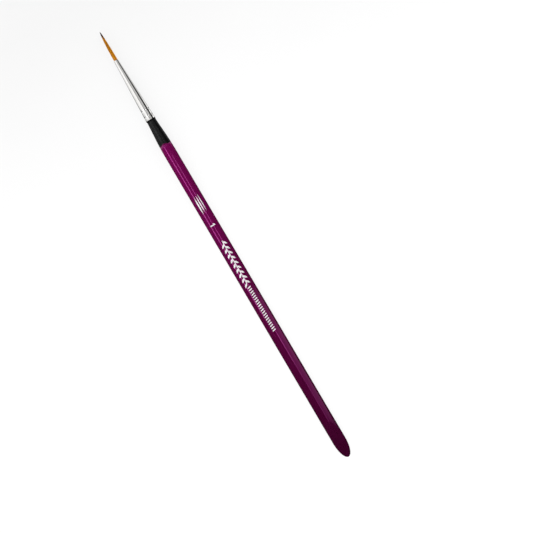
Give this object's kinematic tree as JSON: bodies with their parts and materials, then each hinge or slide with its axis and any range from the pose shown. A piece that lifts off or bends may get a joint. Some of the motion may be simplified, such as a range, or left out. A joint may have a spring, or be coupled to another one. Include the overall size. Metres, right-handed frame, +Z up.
{
  "type": "fine detail brush",
  "caption": "Pointed liner brush: springy filament tuft, tapered crimped metal ferrule, and a slim lacquered wooden handle with a slanted tail face.",
  "frame": {"origin": "centre of the brush's box, on the plane that its barrel lies on", "axes": "+X along the brush towards the tail, +Z up, the way the slanted tail face and the printed marks look"},
  "size_m": [0.175, 0.0048, 0.0049],
  "materials": {
    "birch": "turned and sealed",
    "purple_lacquer": "gloss lacquer",
    "black_lacquer": "satin lacquer",
    "white_ink": "pad-printed ink",
    "nickel_plate": "polished nickel plate on brass",
    "glue": "cured glue",
    "resin": "cured epoxy",
    "thread": "polyester thread",
    "filament": "glossy synthetic filament, amber",
    "filament_tip": "glossy synthetic filament, dyed brown at the tips"
  },
  "bodies": {
    "handle": {"handle_core": "birch", "barrel_lacquer": "purple_lacquer", "neck_lacquer": "black_lacquer", "stroke_print": "white_ink", "numeral_print": "white_ink", "sprig_print": "white_ink", "rule_print": "white_ink", "ferrule": "nickel_plate", "tenon_glue": "glue", "filament_root": "filament", "binding_thread": "thread", "root_resin": "resin"},
    "heel": {"tuft_heel": "filament"},
    "lower_belly": {"tuft_lower_belly": "filament"},
    "upper_belly": {"tuft_upper_belly": "filament"},
    "point": {"tuft_point": "filament_tip"}
  },
  "joints": [
    {"name": "heel_bend", "type": "hinge", "parent": "handle", "child": "heel", "pos_m": [-0.07605, 0, 0.00245], "axis": [0, 1, 0], "range_deg": [-18, 18], "stiffness_Nm_per_rad": 0.000075},
    {"name": "belly_sway", "type": "hinge", "parent": "heel", "child": "lower_belly", "pos_m": [-0.07891, 0, 0.00245], "axis": [0, 0, 1], "range_deg": [-18, 18], "stiffness_Nm_per_rad": 0.000035},
    {"name": "belly_bend", "type": "hinge", "parent": "lower_belly", "child": "upper_belly", "pos_m": [-0.08178, 0, 0.00245], "axis": [0, 1, 0], "range_deg": [-27, 27], "stiffness_Nm_per_rad": 0.000004},
    {"name": "point_sway", "type": "hinge", "parent": "upper_belly", "child": "point", "pos_m": [-0.08464, 0, 0.00245], "axis": [0, 0, 1], "range_deg": [-27, 27], "stiffness_Nm_per_rad": 0.0000003}
  ],
  "couplings": [
    {"joint": "belly_bend", "follows": "heel_bend", "ratio": 1.5},
    {"joint": "point_sway", "follows": "belly_sway", "ratio": 1.5}
  ]
}
